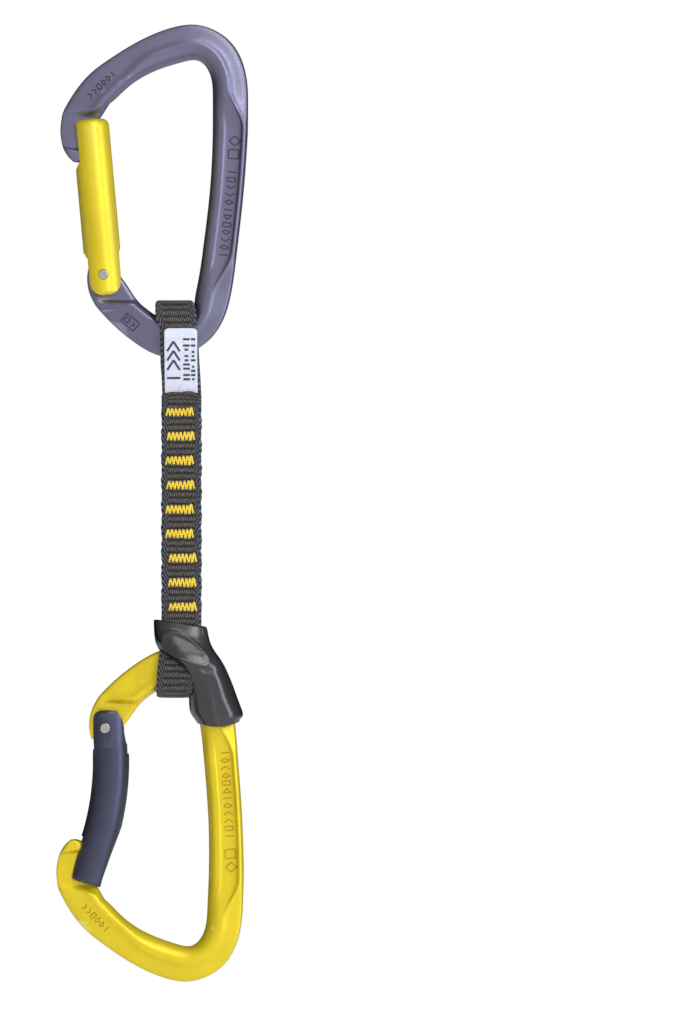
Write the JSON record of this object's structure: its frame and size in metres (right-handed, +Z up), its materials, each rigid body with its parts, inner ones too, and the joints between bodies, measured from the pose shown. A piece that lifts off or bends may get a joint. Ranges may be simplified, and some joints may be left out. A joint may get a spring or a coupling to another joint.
{
  "type": "climbing quickdraw",
  "caption": "Climbing quickdraw: a straight-gate carabiner above and a bent-gate carabiner below, joined by a short sewn webbing sling with a moulded rubber keeper.",
  "frame": {"origin": "inside of the upper carabiner's basket, where the bolt hanger bears, in the middle of the bar's thickness", "axes": "+Z up along the hanging quickdraw, +X towards the spines of both carabiners, so both gates face -X, and +Y through their thickness"},
  "size_m": [0.0585, 0.0231, 0.2896],
  "materials": {
    "grey_anodised_alloy": "satin violet-grey anodising on hot-forged alloy",
    "yellow_anodised_alloy": "satin yellow anodising on alloy",
    "dark_anodised_alloy": "satin slate anodising on turned alloy",
    "stainless_rivet": "peened stainless steel",
    "spring_steel": "drawn spring wire",
    "plunger_steel": "turned steel",
    "black_webbing": "woven nylon webbing",
    "yellow_thread": "bonded nylon sewing thread",
    "white_label": "satin woven label with a plain printed mark",
    "black_rubber": "glossy moulded rubber"
  },
  "bodies": {
    "upper_carabiner": {"upper_body": "grey_anodised_alloy"},
    "upper_gate": {"upper_gate": "yellow_anodised_alloy", "upper_gate_rivet": "stainless_rivet", "upper_gate_spring": "spring_steel"},
    "upper_plunger": {"upper_gate_plunger": "plunger_steel"},
    "sling_eye": {"sling_upper_eye": "black_webbing"},
    "sling_top": {"sling_upper_strap": "black_webbing", "sling_label": "white_label", "upper_bar_tacks": "yellow_thread"},
    "sling_middle": {"sling_middle_strap": "black_webbing", "middle_bar_tacks": "yellow_thread"},
    "sling_bottom": {"sling_lower_strap": "black_webbing", "lower_bar_tacks": "yellow_thread", "rubber_keeper": "black_rubber"},
    "lower_carabiner": {"lower_body": "yellow_anodised_alloy"},
    "lower_gate": {"lower_gate": "dark_anodised_alloy", "lower_gate_rivet": "stainless_rivet", "lower_gate_spring": "spring_steel"},
    "lower_plunger": {"lower_gate_plunger": "plunger_steel"}
  },
  "joints": [
    {"name": "upper_gate_hinge", "type": "hinge", "parent": "upper_carabiner", "child": "upper_gate", "pos_m": [-0.0266, 0, -0.065], "axis": [0, 1, 0], "range_deg": [0, 27], "stiffness_Nm_per_rad": 0.15, "springref_deg": -28.65},
    {"name": "upper_plunger_slide", "type": "slide", "parent": "upper_gate", "child": "upper_plunger", "axis": [-0.0906, 0, 0.9959], "range_m": [0, 0.001], "deforming": ["upper_gate_spring"]},
    {"name": "sling_swing", "type": "hinge", "parent": "upper_carabiner", "child": "sling_eye", "pos_m": [-0.004, 0, -0.0724], "axis": [0, 1, 0], "range_deg": [-12, 12]},
    {"name": "sling_fold", "type": "hinge", "parent": "sling_eye", "child": "sling_top", "pos_m": [-0.004, 0, -0.0831], "axis": [1, 0, 0], "range_deg": [-90, 90]},
    {"name": "sling_twist", "type": "hinge", "parent": "sling_top", "child": "sling_middle", "pos_m": [-0.0032, 0, -0.117], "axis": [0, 0, 1], "range_deg": [-60, 60], "stiffness_Nm_per_rad": 0.02},
    {"name": "sling_flex", "type": "hinge", "parent": "sling_middle", "child": "sling_bottom", "pos_m": [-0.0032, 0, -0.1542], "axis": [1, 0, 0], "range_deg": [-45, 45], "stiffness_Nm_per_rad": 0.03},
    {"name": "lower_fold", "type": "hinge", "parent": "sling_bottom", "child": "lower_carabiner", "pos_m": [-0.0032, 0, -0.1842], "axis": [1, 0, 0], "range_deg": [-35, 35], "stiffness_Nm_per_rad": 0.05, "deforming": ["rubber_keeper"]},
    {"name": "lower_gate_hinge", "type": "hinge", "parent": "lower_carabiner", "child": "lower_gate", "pos_m": [-0.02602, 0, -0.20177], "axis": [0, -1, 0], "range_deg": [0, 27], "stiffness_Nm_per_rad": 0.15, "springref_deg": -28.65},
    {"name": "lower_plunger_slide", "type": "slide", "parent": "lower_gate", "child": "lower_plunger", "axis": [-0.1312, 0, -0.9914], "range_m": [0, 0.001], "deforming": ["lower_gate_spring"]}
  ],
  "couplings": [
    {"joint": "upper_plunger_slide", "follows": "upper_gate_hinge", "m_per_rad": 0.0021},
    {"joint": "lower_plunger_slide", "follows": "lower_gate_hinge", "m_per_rad": 0.0021}
  ]
}
